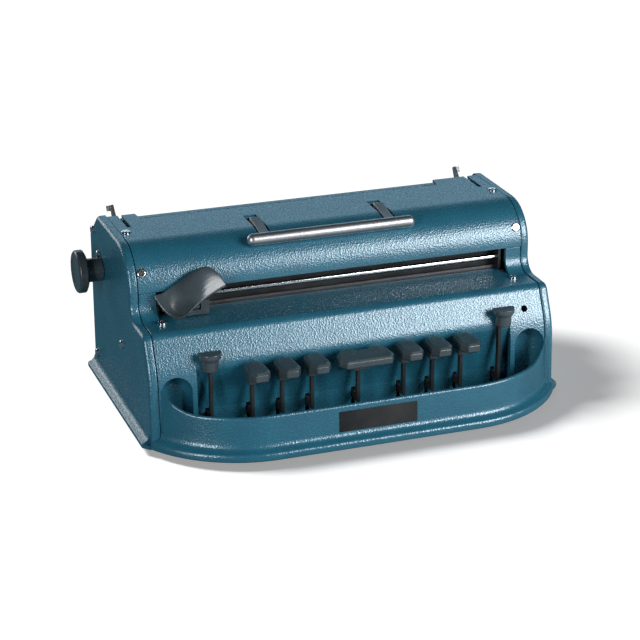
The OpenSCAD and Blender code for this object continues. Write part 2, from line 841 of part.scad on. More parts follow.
// Thumb saddle: a trough at its front end that rolls over to an arch at its rear end. s runs from
// the front end to the rear end, u from the rear edge to the front edge, bow is the swell between.
saddle_t = 2.6;
function saddle_point(s, u) =
    let (at = [carriage_x - 10.9 + 0.7 * saddle_len * s, slot_y - 17.5 + 11.4 * s + 9 * s * (1 - s)],
        side = [8 - 0.6 * s, -12.2 + 5.6 * s],
        rear_edge = shelf_z + 21.6 + 15.6 * s,
        front_edge = shelf_z + 14.7 + 10.2 * s,
        bow = -10.8 + 15.8 * s + 45 * s * (1 - s))
    [at[0] + u * side[0], at[1] + u * side[1],
        rear_edge * (1 - u) / 2 + front_edge * (1 + u) / 2 + bow * (1 - u * u)];
function saddle_ring(s, flare) =
    let (top = [for (i = [-6:6]) saddle_point(s, i / 6) - flare * [1 - i / 9, 0, 0.3]])
    concat(top, [for (i = [12:-1:0]) top[i] - [0, 0, saddle_t]]);

module carriage_lever() {
    x0 = carriage_x - carriage_w / 2 + 12.5;
    x1 = x0 + carriage_w - 20;
    saddle_z = hinge_z - 3.5;
    color(DARK_PLASTIC)
        difference() {
            union() {
                skin(concat([saddle_ring(0, 4)], [for (i = [0:12]) saddle_ring(i / 12, 0)]), strip(26));
                // Foot of the saddle, with the bore for its pin
                translate([0, hinge_y + 3.5, 0])
                    rotate([90, 0, 0])
                        linear_extrude(7)
                            polygon([[x0, saddle_z], [x1, saddle_z], [x1, saddle_z + 27.5], [x0, saddle_z + 18.5]]);
            }
            rod(x0 - cut, x1 + cut, hinge_y, hinge_z, 1.5 + run);
        }
}

// ---- Paper feed ----

module feed_shaft() {
    reach = half_w + knob_out - 4;
    color(STEEL) {
        rod(-reach, reach, feed_y, feed_z, feed_shaft_r);
        difference() {
            rod(-tube_half, tube_half, feed_y, feed_z, tube_r);
            rod(-tube_half - cut, tube_half + cut, feed_y, feed_z, feed_shaft_r - 0.5);
        }
    }
}

module rubber_sleeves() {
    color(RUBBER)
        for (x = sleeve_x)
            difference() {
                rod(x - sleeve_half, x + sleeve_half, feed_y, feed_z, sleeve_r);
                rod(x - sleeve_half - cut, x + sleeve_half + cut, feed_y, feed_z, tube_r);
            }
}

module ratchet_wheel() {
    step = 360 / ratchet_teeth;
    tip_r = sleeve_r + 1;
    root_r = tip_r - 2;
    color(BRASS)
        translate([-tube_half + 1, feed_y, feed_z])
            rotate([90, 0, 90])
                linear_extrude(3)
                    difference() {
                        polygon([for (i = [0:ratchet_teeth - 1]) each
                            [tip_r * [cos(i * step), sin(i * step)],
                                root_r * [cos(i * step + 1), sin(i * step + 1)]]]);
                        circle(r = tube_r);
                    }
}

// Knob with a domed face, drawn outwards from the panel
module knob() {
    gap = 0.5;
    bevel = 1.4;
    difference() {
        rotate_extrude($fn = 96)
            polygon([[0, gap], [hub_r, gap], [hub_r, knob_out - knob_t], [knob_r - 3, knob_out - knob_t],
                [knob_r, knob_out - knob_t + 1.6], [knob_r, knob_out - bevel], [knob_r - bevel, knob_out],
                [knob_r - 5, knob_out], [knob_r - 6.5, knob_out - 0.8], [0, knob_out - 0.8]]);
        translate([0, 0, -cut]) cylinder(r = feed_shaft_r, h = knob_out - 4 + cut);
    }
}

module left_knob() {
    color(DARK_PLASTIC) translate([-half_w, feed_y, feed_z]) rotate([0, -90, 0]) knob();
}

module right_knob() {
    color(DARK_PLASTIC) translate([half_w, feed_y, feed_z]) rotate([0, 90, 0]) knob();
}

// Stamped lever that lifts the pinch rollers, with a turned thumb tab
module release_lever() {
    tip_y = 33.4;
    tip_z = 43.6;
    color(STEEL)
        difference() {
            union() {
                translate([lever_x - release_t / 2, feed_y, feed_z])
                    rotate([90, 0, 90])
                        linear_extrude(release_t) {
                            circle(r = feed_shaft_r + 4);
                            polygon([[-4.8, 6.4], [6.4, -4.8], [28, 32], [tip_y, tip_z - 2], [tip_y - 2.6, tip_z],
                                [23, 36.5], [8, 20]]);
                        }
                translate([lever_x - release_t / 2, feed_y + tip_y - 4, feed_z + tip_z - 4.5])
                    rotate([-35, 0, 0])
                        cube([release_t + 3.5, 1.5, 4.5]);
            }
            rod(lever_x - 5, lever_x + 5, feed_y, feed_z, feed_shaft_r + run);
        }
}

module left_release_lever() {
    mirror([1, 0, 0]) release_lever();
}

module right_release_lever() {
    release_lever();
}

// Pair of arms on the pinch rod, joined by the roller's pin
module pinch_arms() {
    roller_x = sleeve_x[3];
    arm_t = 1.5;
    near = roller_x - sleeve_half - arm_t - rest_gap;
    far = roller_x + sleeve_half + rest_gap;
    color(STEEL)
        difference() {
            union() {
                for (x = [near, far])
                    translate([x, 0, 0])
                        rotate([90, 0, 90])
                            linear_extrude(arm_t) {
                                translate([pinch_rod_y, pinch_z]) circle(r = 5);
                                translate([pinch_y, pinch_z]) circle(r = 4);
                                translate([pinch_rod_y, pinch_z - 3]) square([pinch_y - pinch_rod_y, 6]);
                            }
                translate([near, pinch_rod_y + 6, pinch_z + 1]) cube([far + arm_t - near, 4, 2]);
                rod(near, far + arm_t, pinch_y, pinch_z, 2);
            }
            rod(near - cut, far + arm_t + cut, pinch_rod_y, pinch_z, pinch_rod_r + run);
        }
}

module pinch_roller() {
    roller_x = sleeve_x[3];
    color(RUBBER)
        difference() {
            rod(roller_x - sleeve_half, roller_x + sleeve_half, pinch_y, pinch_z, pinch_r);
            rod(roller_x - sleeve_half - cut, roller_x + sleeve_half + cut, pinch_y, pinch_z, 2 + run);
        }
}

module pinch_arms_left() {
    mirror([1, 0, 0]) pinch_arms();
}

module pinch_arms_right() {
    pinch_arms();
}

module pinch_roller_left() {
    mirror([1, 0, 0]) pinch_roller();
}

module pinch_roller_right() {
    pinch_roller();
}

// ---- Handle ----

module handle_grip() {
    color(STEEL)
        difference() {
            union() {
                rod(-grip_len / 2 + grip_r, grip_len / 2 - grip_r, grip_y, grip_z, grip_r);
                at_both_ends() translate([grip_len / 2 - grip_r, grip_y, grip_z]) sphere(r = grip_r);
            }
            at_both_ends() strap_bar();
        }
}

// Bent bar: from the grip over the cover's shoulder to the elbow, then down to its pin
strap_x = (strap_span - strap_w) / 2;
module strap_bar() {
    grip_end = [grip_y + 1, grip_z - 1.3];
    bend = [crest_y - 0.35 * crest_r, elbow_z - 0.141 * crest_r];
    translate([strap_x, 0, 0])
        rotate([90, 0, 90])
            linear_extrude(strap_w)
                polygon([grip_end, bend + [1, -strap_t],
                    [elbow_y - strap_t - 2, elbow_z - strap_t - 0.6], [elbow_y - strap_t, elbow_z - strap_t - 2],
                    [pivot_y - strap_t, pivot_z], [pivot_y + strap_t, pivot_z], [elbow_y, elbow_z - 2.5],
                    [elbow_y - 0.8, elbow_z - 0.8], [elbow_y - 2.5, elbow_z],
                    bend, grip_end + [0, strap_t]]);
}

module handle_strap() {
    difference() {
        union() {
            strap_bar();
            rod(strap_x, strap_x + strap_w, pivot_y, pivot_z, 4.2);
        }
        rod(strap_x - cut, strap_x + strap_w + cut, pivot_y, pivot_z, pivot_r + run);
    }
}

module handle_straps() {
    color(STEEL) at_both_ends() handle_strap();
}

// ---- Margin stops ----

module margin_stop() {
    gap = rest_gap;
    color(DARK_PLASTIC)
        difference() {
            union() {
                translate([-6, margin_y - 6.5, margin_z - 3]) cube([12, 13, 8.5]);
                translate([-2.5, margin_y - 2, margin_z + 4]) cube([5, 3, 8]);
            }
            translate([-10, margin_y - 4 - gap, margin_z - gap]) cube([20, 8 + 2 * gap, 3 + 2 * gap]);
        }
}

stop_x = 104;
module left_margin_stop() {
    translate([-stop_x, 0, 0]) margin_stop();
}

module right_margin_stop() {
    translate([stop_x, 0, 0]) margin_stop();
}

// ---- Keys ----

// Flat lever on the fulcrum shaft, with its upright stem
module key_lever(x, stem_top) {
    color(BLACK_STEEL)
        difference() {
            translate([x - lever_t / 2, 0, 0])
                rotate([90, 0, 90])
                    linear_extrude(lever_t) {
                        polygon([[stem_y - stem_d / 2, lever_z], [fulcrum_y + tail, lever_z],
                            [fulcrum_y + tail, lever_z + lever_h], [stem_y + stem_d / 2 + 2, lever_z + lever_h],
                            [stem_y + stem_d / 2, lever_z + lever_h + 2], [stem_y + stem_d / 2, stem_top],
                            [stem_y - stem_d / 2, stem_top]]);
                        translate([fulcrum_y, fulcrum_z]) circle(r = fulcrum_r + 2.5);
                    }
            rod(x - lever_t, x + lever_t, fulcrum_y, fulcrum_z, fulcrum_r + run);
        }
}

function cap_outline(half_back, half_front, back, front) = [
    [-half_back + 2, back], [-half_back, back - 3], [-half_front, front + 7], [-half_front + 4, front],
    [half_front - 4, front], [half_front, front + 7], [half_back, back - 3], [half_back - 2, back]];

// Finger pad that reaches forwards from its stem, chamfered all round
module dot_cap(x) {
    color(DARK_PLASTIC)
        translate([x, stem_y, 0]) {
            hull() {
                translate([0, 0, dot_top - 10.5]) linear_extrude(1) polygon(cap_outline(5.5, 6, -1, -21));
                translate([0, 0, dot_top - 7]) linear_extrude(5) polygon(cap_outline(7.6, 8.8, 1.4, -27));
                translate([0, 0, dot_top - 0.6]) linear_extrude(0.6) polygon(cap_outline(5.8, 7.2, -1, -25.2));
            }
            translate([-4.5, -6.5, dot_low]) cube([9, 7.5, 9]);
        }
}

// Wide pad with two raised lobes at the back
module space_cap() {
    pad_half = 23;
    color(DARK_PLASTIC)
        translate([0, stem_y, 0]) {
            hull() {
                translate([0, 0, dot_top - 8]) linear_extrude(1) polygon(cap_outline(20, 21, -6, -24));
                translate([0, 0, dot_top - 6.5]) linear_extrude(4.5) polygon(cap_outline(21.5, pad_half, -5, -27));
                translate([0, 0, dot_top - 0.8]) linear_extrude(0.6) polygon(cap_outline(20, 21.5, -6, -25.4));
            }
            for (side = [-1, 1])
                translate([side * 12, 0, 0])
                    hull() {
                        translate([0, 0, dot_top - 8]) linear_extrude(1) polygon(cap_outline(7, 8, 0.4, -14));
                        translate([0, 0, dot_top - 1]) linear_extrude(1) polygon(cap_outline(4.5, 7, -2, -14));
                    }
            translate([-6, -8, dot_low]) cube([12, 9, 10.5]);
        }
}

// Half-round button with a collar and a wider top plate
module end_cap(x, rise) {
    color(DARK_PLASTIC)
        translate([x, stem_y + 3, rise]) {
            half_round(6.7, end_low, end_top - 5);
            half_round(7.9, end_top - 6, end_top - 4);
            half_round(9.2, end_top - 4.2, end_top);
        }
}

// Half disc, flat at the back and a little longer than half
module half_round(r, low, high) {
    translate([0, -2, low])
        intersection() {
            cylinder(r = r, h = high - low);
            translate([-r - cut, -r - cut, -cut]) cube([2 * r + 2 * cut, r + 2 + cut, high - low + 2 * cut]);
        }
}

module line_key_lever() { key_lever(key_x[0], end_low); }
module dot3_lever() { key_lever(key_x[1], dot_low); }
module dot2_lever() { key_lever(key_x[2], dot_low); }
module dot1_lever() { key_lever(key_x[3], dot_low); }
module space_lever() { key_lever(key_x[4], dot_low); }
module dot4_lever() { key_lever(key_x[5], dot_low); }
module dot5_lever() { key_lever(key_x[6], dot_low); }
module dot6_lever() { key_lever(key_x[7], dot_low); }
module back_key_lever() { key_lever(key_x[8], end_low + back_rise); }

module line_key_cap() { end_cap(key_x[0], 0); }
module dot3_cap() { dot_cap(key_x[1]); }
module dot2_cap() { dot_cap(key_x[2]); }
module dot1_cap() { dot_cap(key_x[3]); }
module dot4_cap() { dot_cap(key_x[5]); }
module dot5_cap() { dot_cap(key_x[6]); }
module dot6_cap() { dot_cap(key_x[7]); }
module back_key_cap() { end_cap(key_x[8] + back_aside, back_rise); }

left_end_panel();
right_end_panel();
front_housing();
top_cover();
rear_cover();
base_pan();
label_plate();
rubber_feet();
cover_screws();
side_screws();
shelf_screws();
left_frame_plate();
right_frame_plate();
carriage_rail();
guide_strip();
slot_back_plate();
escapement_rack();
key_fulcrum_shaft();
key_comb();
lever_stop_bar();
paper_guide();
margin_bar();
pinch_rod();
handle_pivots();
bell();
carriage_block();
carriage_lever();
feed_shaft();
rubber_sleeves();
ratchet_wheel();
left_knob();
right_knob();
left_release_lever();
right_release_lever();
pinch_arms_left();
pinch_arms_right();
pinch_roller_left();
pinch_roller_right();
handle_grip();
handle_straps();
left_margin_stop();
right_margin_stop();
line_key_lever();
line_key_cap();
dot3_lever();
dot3_cap();
dot2_lever();
dot2_cap();
dot1_lever();
dot1_cap();
space_lever();
space_cap();
dot4_lever();
dot4_cap();
dot5_lever();
dot5_cap();
dot6_lever();
dot6_cap();
back_key_lever();
back_key_cap();
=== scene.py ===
"""Manual braille writer: finishes, fine parts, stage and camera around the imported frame."""

import json
import math

import bpy
from bpy.props import FloatProperty, FloatVectorProperty, PointerProperty
from mathutils import Matrix, Vector

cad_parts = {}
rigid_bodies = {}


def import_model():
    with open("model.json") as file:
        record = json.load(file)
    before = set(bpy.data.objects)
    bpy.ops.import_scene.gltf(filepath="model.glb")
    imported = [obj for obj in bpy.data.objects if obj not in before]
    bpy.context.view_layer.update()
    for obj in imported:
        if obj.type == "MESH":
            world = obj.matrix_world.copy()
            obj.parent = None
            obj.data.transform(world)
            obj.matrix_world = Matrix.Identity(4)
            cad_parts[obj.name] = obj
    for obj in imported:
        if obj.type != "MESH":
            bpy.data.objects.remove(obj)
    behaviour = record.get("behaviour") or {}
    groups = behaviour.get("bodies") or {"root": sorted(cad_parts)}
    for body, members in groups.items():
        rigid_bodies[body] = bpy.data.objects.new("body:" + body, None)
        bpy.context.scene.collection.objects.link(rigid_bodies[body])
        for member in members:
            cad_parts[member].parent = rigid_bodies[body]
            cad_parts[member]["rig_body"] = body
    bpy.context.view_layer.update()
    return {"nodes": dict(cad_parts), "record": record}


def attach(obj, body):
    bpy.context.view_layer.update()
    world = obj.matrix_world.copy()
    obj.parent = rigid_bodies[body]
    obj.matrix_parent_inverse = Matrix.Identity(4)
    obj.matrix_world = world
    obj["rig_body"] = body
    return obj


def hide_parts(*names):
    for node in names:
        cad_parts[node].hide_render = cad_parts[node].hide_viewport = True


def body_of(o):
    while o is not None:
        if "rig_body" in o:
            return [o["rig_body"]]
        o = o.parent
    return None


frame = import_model()

bl_info = {
    "name": "Braille writer",
    "version": (1, 0, 0),
    "blender": (4, 5, 0),
    "location": "3D View > Sidebar > Braille writer",
    "description": "Finishes, fine parts and a plain stage for a manual braille writer",
    "category": "Object",
}

MM = 0.001


# ---- Settings ----

class WriterFinishes(bpy.types.PropertyGroup):
    """Colours and grain of the machine's finishes."""

    enamel: FloatVectorProperty(
        name="Enamel", description="Colour of the hammertone enamel",
        subtype="COLOR", size=3, min=0, max=1, default=(0.011, 0.096, 0.152))
    enamel_light: FloatVectorProperty(
        name="Enamel crests", description="Colour where the enamel is thin over a crest",
        subtype="COLOR", size=3, min=0, max=1, default=(0.016, 0.122, 0.190))
    dimple: FloatProperty(
        name="Dimple size", description="Width of a hammered dimple",
        subtype="DISTANCE", default=0.0013, min=0.0005, max=0.01, precision=4)
    plastic: FloatVectorProperty(
        name="Plastic", description="Colour of keys, knobs and the thumb saddle",
        subtype="COLOR", size=3, min=0, max=1, default=(0.036, 0.050, 0.058))
    bright: FloatVectorProperty(
        name="Bright steel", description="Colour of rods, straps and the grip",
        subtype="COLOR", size=3, min=0, max=1, default=(0.62, 0.63, 0.65))


class WriterStage(bpy.types.PropertyGroup):
    """Camera and lights."""

    lens: FloatProperty(
        name="Lens", description="Focal length on a 36 mm sensor",
        subtype="DISTANCE_CAMERA", default=115.4, min=20, max=400)
    turn: FloatProperty(
        name="Turn", description="How far the camera stands to the left of the front",
        subtype="ANGLE", default=math.radians(19.83))
    tilt: FloatProperty(
        name="Tilt", description="How far the camera looks down",
        subtype="ANGLE", default=math.radians(21.86))
    place: FloatVectorProperty(
        name="Place", description="Where the camera stands",
        subtype="TRANSLATION", size=3, default=(-0.5398, -1.4695, 0.6953))
    key_power: FloatProperty(
        name="Key light", description="Power of the soft box in front at the right, in watts",
        default=38.0, min=0)
    rim_power: FloatProperty(
        name="Rim light", description="Power of the strip box at the left, in watts",
        default=15.0, min=0)
    sun_strength: FloatProperty(
        name="Shadow light", description="Strength of the wide parallel light on the floor",
        default=3.5, min=0)
    sky: FloatProperty(
        name="Room", description="Strength of the room's even light", default=0.32, min=0)
    mirrored: FloatProperty(
        name="Mirrored room", description="Strength of the room in polished pieces", default=0.7, min=0)
    back_power: FloatProperty(
        name="Back fill", description="Power of the soft box behind at the left, in watts",
        default=9.0, min=0)
    wall_power: FloatProperty(
        name="Wall", description="Power of the pale wall behind, in watts", default=8.5, min=0)
    card_glow: FloatProperty(
        name="Front card", description="Strength of the pale card in front, seen in glossy pieces",
        default=0.5, min=0)
    floor_glow: FloatProperty(
        name="Floor glow", description="Light that the camera sees from the floor itself",
        default=0.34, min=0)


# ---- Node helpers ----

def new_group(name, inputs, outputs):
    """An empty shader node group with its sockets, as (tree, input node, output node)."""
    tree = bpy.data.node_groups.new(name, "ShaderNodeTree")
    for label, kind, value in inputs:
        socket = tree.interface.new_socket(label, in_out="INPUT", socket_type=kind)
        socket.default_value = value
    for label, kind in outputs:
        tree.interface.new_socket(label, in_out="OUTPUT", socket_type=kind)
    return tree, tree.nodes.new("NodeGroupInput"), tree.nodes.new("NodeGroupOutput")


def node(tree, kind, links=None, **settings):
    """A node with its settings; links fills its inputs by name or number with sockets or values."""
    made = tree.nodes.new(kind)
    for key, value in settings.items():
        setattr(made, key, value)
    for key, value in (links or {}).items():
        if isinstance(value, bpy.types.NodeSocket):
            tree.links.new(value, made.inputs[key])
        else:
            made.inputs[key].default_value = value
    return made


def math_node(tree, operation, a, b):
    """The result of one sum on two sockets or values."""
    return node(tree, "ShaderNodeMath", {0: a, 1: b}, operation=operation).outputs[0]


# The mix node's colour sockets, by number because its other kinds share their names
MIX_A, MIX_B, MIX_RESULT = 6, 7, 2


def mix_colour(tree, factor, a, b, blend="MIX"):
    """Colour a where the factor is 0 and b where it is 1."""
    made = node(tree, "ShaderNodeMix", {0: factor, MIX_A: a, MIX_B: b},
                data_type="RGBA", blend_type=blend)
    return made.outputs[MIX_RESULT]


def ramp(tree, factor, low, high):
    """0 below low, 1 above high."""
    made = node(tree, "ShaderNodeMapRange", {0: factor, 1: low, 2: high}, clamp=True)
    return made.outputs[0]


def build_dimple_group():
    """Hammered dimples: a crest mask and a height, from warped cells of a given width."""
    tree, entry, leave = new_group(
        "hammered_dimples",
        [("Width", "NodeSocketFloat", 0.002), ("Warp", "NodeSocketFloat", 0.4)],
        [("Crest", "NodeSocketFloat"), ("Height", "NodeSocketFloat"), ("Drift", "NodeSocketFloat")])
    place = node(tree, "ShaderNodeTexCoord").outputs["Object"]
    scale = math_node(tree, "DIVIDE", 1.0, entry.outputs["Width"])
    warp = node(tree, "ShaderNodeTexNoise", {"Vector": place, "Scale": scale, "Detail": 2.0})
    bend = math_node(tree, "MULTIPLY", entry.outputs["Width"], entry.outputs["Warp"])
    offset = node(tree, "ShaderNodeVectorMath", {0: warp.outputs["Color"], 1: (0.5, 0.5, 0.5)},
                  operation="SUBTRACT").outputs[0]
    shift = node(tree, "ShaderNodeVectorMath", {0: offset, "Scale": bend},
                 operation="SCALE").outputs[0]
    bent = node(tree, "ShaderNodeVectorMath", {0: place, 1: shift}, operation="ADD").outputs[0]
    cells = node(tree, "ShaderNodeTexVoronoi",
                 {"Vector": bent, "Scale": scale, "Smoothness": 0.6}, feature="SMOOTH_F1")
    finer = math_node(tree, "MULTIPLY", scale, 1.7)
    fine = node(tree, "ShaderNodeTexNoise", {"Vector": place, "Scale": finer, "Detail": 3.0})
    wider = math_node(tree, "MULTIPLY", scale, 0.05)
    drift = node(tree, "ShaderNodeTexNoise", {"Vector": place, "Scale": wider, "Detail": 2.0})
    height = math_node(tree, "ADD", cells.outputs["Distance"],
                       math_node(tree, "MULTIPLY", fine.outputs["Fac"], 0.35))
    tree.links.new(ramp(tree, cells.outputs["Distance"], 0.35, 0.75), leave.inputs["Crest"])
    tree.links.new(height, leave.inputs["Height"])
    tree.links.new(drift.outputs["Fac"], leave.inputs["Drift"])
    return tree


def build_grain_group():
    """Fine moulded grain with larger handling smudges."""
    tree, entry, leave = new_group(
        "moulded_grain",
        [("Width", "NodeSocketFloat", 0.0006), ("Smudge", "NodeSocketFloat", 0.03)],
        [("Height", "NodeSocketFloat"), ("Smudge", "NodeSocketFloat")])
    place = node(tree, "ShaderNodeTexCoord").outputs["Object"]
    finer = math_node(tree, "DIVIDE", 1.0, entry.outputs["Width"])
    fine = node(tree, "ShaderNodeTexNoise", {"Vector": place, "Scale": finer, "Detail": 2.0})
    wider = math_node(tree, "DIVIDE", 1.0, entry.outputs["Smudge"])
    large = node(tree, "ShaderNodeTexNoise", {"Vector": place, "Scale": wider, "Detail": 4.0})
    tree.links.new(fine.outputs["Fac"], leave.inputs["Height"])
    tree.links.new(ramp(tree, large.outputs["Fac"], 0.35, 0.7), leave.inputs["Smudge"])
    return tree


def build_brush_group():
    """Fine lines left by grinding along X, with faint stains."""
    tree, entry, leave = new_group(
        "ground_lines",
        [("Width", "NodeSocketFloat", 0.0004), ("Length", "NodeSocketFloat", 0.03)],
        [("Lines", "NodeSocketFloat"), ("Stain", "NodeSocketFloat")])
    place = node(tree, "ShaderNodeTexCoord").outputs["Object"]
    across = math_node(tree, "DIVIDE", 1.0, entry.outputs["Width"])
    along = math_node(tree, "DIVIDE", 1.0, entry.outputs["Length"])
    stretch = node(tree, "ShaderNodeCombineXYZ", {0: along, 1: across, 2: across}).outputs[0]
    stretched = node(tree, "ShaderNodeVectorMath", {0: place, 1: stretch},
                     operation="MULTIPLY").outputs[0]
    lines = node(tree, "ShaderNodeTexNoise", {"Vector": stretched, "Scale": 1.0, "Detail": 3.0})
    stain = node(tree, "ShaderNodeTexNoise", {"Vector": place, "Scale": 45.0, "Detail": 4.0})
    tree.links.new(lines.outputs["Fac"], leave.inputs["Lines"])
    tree.links.new(ramp(tree, stain.outputs["Fac"], 0.4, 0.75), leave.inputs["Stain"])
    return tree


def start_material(name, **fixed):
    """A material with a Principled shader whose plain sockets are set, as (material, tree, shader)."""
    made = bpy.data.materials.new(name)
    made.use_nodes = True
    shader = made.node_tree.nodes["Principled BSDF"]
    for label, value in fixed.items():
        shader.inputs[label.replace("_", " ")].default_value = value
    return made, made.node_tree, shader


def place_group(tree, group, **values):
    """A node that holds the group, with its inputs set."""
    made = node(tree, "ShaderNodeGroup")
    made.node_tree = group
    for label, value in values.items():
        made.inputs[label].default_value = value
    return made


def vary_roughness(tree, shader, mask, change, base):
    """Roughness base where the mask is 0, and base + change where it is 1."""
    made = node(tree, "ShaderNodeMath", {0: mask, 1: change, 2: base}, operation="MULTIPLY_ADD")
    tree.links.new(made.outputs[0], shader.inputs["Roughness"])


def bump(tree, shader, height, depth, strength):
    """Relief of a depth in metres."""
    made = node(tree, "ShaderNodeBump", {"Height": height, "Distance": depth, "Strength": strength})
    tree.links.new(made.outputs[0], shader.inputs["Normal"])


# ---- Materials ----

GRAIN_DEPTH = 0.00005
GROUND_DEPTH = 0.00003


def build_materials(settings):
    """Every finish of the machine by its slot name."""
    dimples, grain, lines = build_dimple_group(), build_grain_group(), build_brush_group()
    made = {}

    def hammered(name, slot):
        """Enamel that dried in dimples, with a slow drift of its colour."""
        material, tree, shader = start_material(name, Specular_IOR_Level=1.0, Metallic=0.12)
        cells = place_group(tree, dimples, Width=settings.dimple, Warp=0.5)
        base = mix_colour(tree, cells.outputs["Crest"],
                          (*settings.enamel, 1), (*settings.enamel_light, 1))
        drift = mix_colour(tree, ramp(tree, cells.outputs["Drift"], 0.3, 0.7),
                           (0.88, 0.9, 0.92, 1), (1.1, 1.08, 1.06, 1))
        tree.links.new(mix_colour(tree, 1.0, base, drift, "MULTIPLY"), shader.inputs["Base Color"])
        vary_roughness(tree, shader, cells.outputs["Crest"], -0.08, 0.33)
        bump(tree, shader, cells.outputs["Height"], 0.0003, 0.6)
        made[slot] = material

    def speckled(name, slot, colour, worn, rough, change, width, smudge):
        """Moulded or painted grain, paler and duller where it is handled."""
        material, tree, shader = start_material(name)
        speckle = place_group(tree, grain, Width=width, Smudge=smudge)
        tree.links.new(mix_colour(tree, speckle.outputs["Smudge"], (*colour, 1), (*worn, 1)),
                       shader.inputs["Base Color"])
        vary_roughness(tree, shader, speckle.outputs["Smudge"], change, rough)
        bump(tree, shader, speckle.outputs["Height"], GRAIN_DEPTH, 0.4)
        made[slot] = material

    def dusty_black(name, slot, colour, rough):
        """Black with a little dust on it."""
        dusty = tuple(min(1.0, c + 0.012) for c in colour)
        speckled(name, slot, colour, dusty, rough, 0.15, 0.0012, 0.03)

    def metal(name, slot, colour, rough, width=0.0004):
        """Ground or plated metal with lines along X and darker stains."""
        material, tree, shader = start_material(name, Metallic=1.0)
        ground = place_group(tree, lines, Width=width, Length=0.03)
        dark = tuple(0.78 * c for c in colour)
        tree.links.new(mix_colour(tree, ground.outputs["Stain"], (*colour, 1), (*dark, 1)),
                       shader.inputs["Base Color"])
        vary_roughness(tree, shader, ground.outputs["Lines"], 0.18, rough)
        bump(tree, shader, ground.outputs["Lines"], GROUND_DEPTH, 0.35)
        made[slot] = material

    hammered("hammertone_enamel", "hammertone")
    plastic = tuple(settings.plastic)
    speckled("charcoal_plastic", "dark_plastic", plastic, tuple(1.35 * c for c in plastic),
             0.22, 0.12, 0.0007, 0.02)
    dusty_black("black_enamel", "black_steel", (0.008, 0.009, 0.010), 0.38)
    dusty_black("black_label", "label", (0.006, 0.006, 0.007), 0.3)
    dusty_black("soft_rubber", "rubber", (0.012, 0.012, 0.012), 0.7)
    metal("bright_steel", "steel", tuple(settings.bright), 0.22)
    metal("polished_chrome", "chrome", (0.75, 0.76, 0.78), 0.06)
    metal("satin_chrome", "satin_chrome", (0.42, 0.43, 0.45), 0.32, width=0.0003)
    metal("turned_brass", "brass", (0.62, 0.42, 0.16), 0.2)
    # Steel for the pieces inside the slot: its dark colour is painted shade, and its roughness is
    # duller
    metal("dull_steel", "dull_steel", (0.12, 0.125, 0.13), 0.36)
    return made


# ---- Operators ----

SLOTS = {row["node"]: row["material_slot"] for row in frame["record"]["subparts"]}
FINISHES = {}


def finishes(context):
    """The materials, built on first use."""
    if not FINISHES:
        FINISHES.update(build_materials(context.scene.writer_finishes))
    return FINISHES


def only(piece):
    """Selects this object alone and makes it active."""
    bpy.ops.object.select_all(action="DESELECT")
    piece.select_set(True)
    bpy.context.view_layer.objects.active = piece


def apply_modifier(piece, kind, **settings):
    """Adds a modifier with these settings and applies it."""
    modifier = piece.modifiers.new(kind.title(), kind)
    for key, value in settings.items():
        setattr(modifier, key, value)
    only(piece)
    bpy.ops.object.modifier_apply(modifier=modifier.name)


# Widest gap in metres that is closed between the triangles of a CAD mesh
MERGE_GAP = 2e-6
# Angles in degrees: faces taken as one, edges rounded, edges kept sharp in the shading
FLAT, ROUNDED, SHADED_SHARP = 0.4, 35, 38


def merged_copy(name):
    """A copy of a CAD node at the origin, its triangles joined and flat areas made one face."""
    only(frame["nodes"][name])
    bpy.ops.object.duplicate()
    piece = bpy.context.object
    piece.name = f"{name}_fine"
    piece.parent = None
    piece.matrix_world = Matrix.Identity(4)
    bpy.ops.object.mode_set(mode="EDIT")
    bpy.ops.mesh.select_all(action="SELECT")
    bpy.ops.mesh.remove_doubles(threshold=MERGE_GAP)
    bpy.ops.mesh.dissolve_limited(angle_limit=math.radians(FLAT))
    bpy.ops.object.mode_set(mode="OBJECT")
    return piece


def soften(piece, width):
    """Rounds the sharp edges, and shades the rest smooth."""
    apply_modifier(piece, "BEVEL", width=width, segments=2, limit_method="ANGLE",
                   angle_limit=math.radians(ROUNDED), use_clamp_overlap=True,
                   miter_outer="MITER_ARC")
    smooth(piece)


def smooth(piece):
    """Smooth shading between sharp edges; large flat faces stay flat."""
    only(piece)
    bpy.ops.object.shade_smooth_by_angle(angle=math.radians(SHADED_SHARP))
    apply_modifier(piece, "WEIGHTED_NORMAL", keep_sharp=True, weight=60)


def wear_smooth(piece, grain, passes):
    """Rounds a moulded piece all over, as its mould and long use do."""
    apply_modifier(piece, "REMESH", mode="VOXEL", voxel_size=grain * MM, use_smooth_shade=True)
    apply_modifier(piece, "SMOOTH", factor=0.5, iterations=passes)
    only(piece)
    bpy.ops.object.shade_smooth()


def round_zone(piece, inside, width):
    """Rounds the sharp edges that lie wholly inside a zone, with a radius of their own.

    The weights are written to the mesh, because the bevel has no clamp and an edge that
    only starts in the zone would spoil the piece beyond it.
    """
    only(piece)
    bpy.ops.object.mode_set(mode="EDIT")
    bpy.ops.mesh.select_mode(type="EDGE")
    bpy.ops.mesh.select_all(action="DESELECT")
    bpy.ops.mesh.edges_select_sharp(sharpness=math.radians(40))
    bpy.ops.object.mode_set(mode="OBJECT")
    mesh = piece.data
    weights = mesh.attributes.new("bevel_weight_edge", "FLOAT", "EDGE")
    for edge in mesh.edges:
        if edge.select and all(inside(mesh.vertices[i].co / MM) for i in edge.vertices):
            weights.data[edge.index].value = 1.0
    apply_modifier(piece, "BEVEL", width=width, segments=4, limit_method="WEIGHT",
                   use_clamp_overlap=False)
    mesh.attributes.remove(mesh.attributes["bevel_weight_edge"])


def stand_for(piece, context, *names):
    """The piece takes the nodes' place, body and finish."""
    piece.data.materials.clear()
    piece.data.materials.append(finishes(context)[SLOTS[names[0]]])
    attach(piece, body_of(frame["nodes"][names[0]])[0])
    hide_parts(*names)


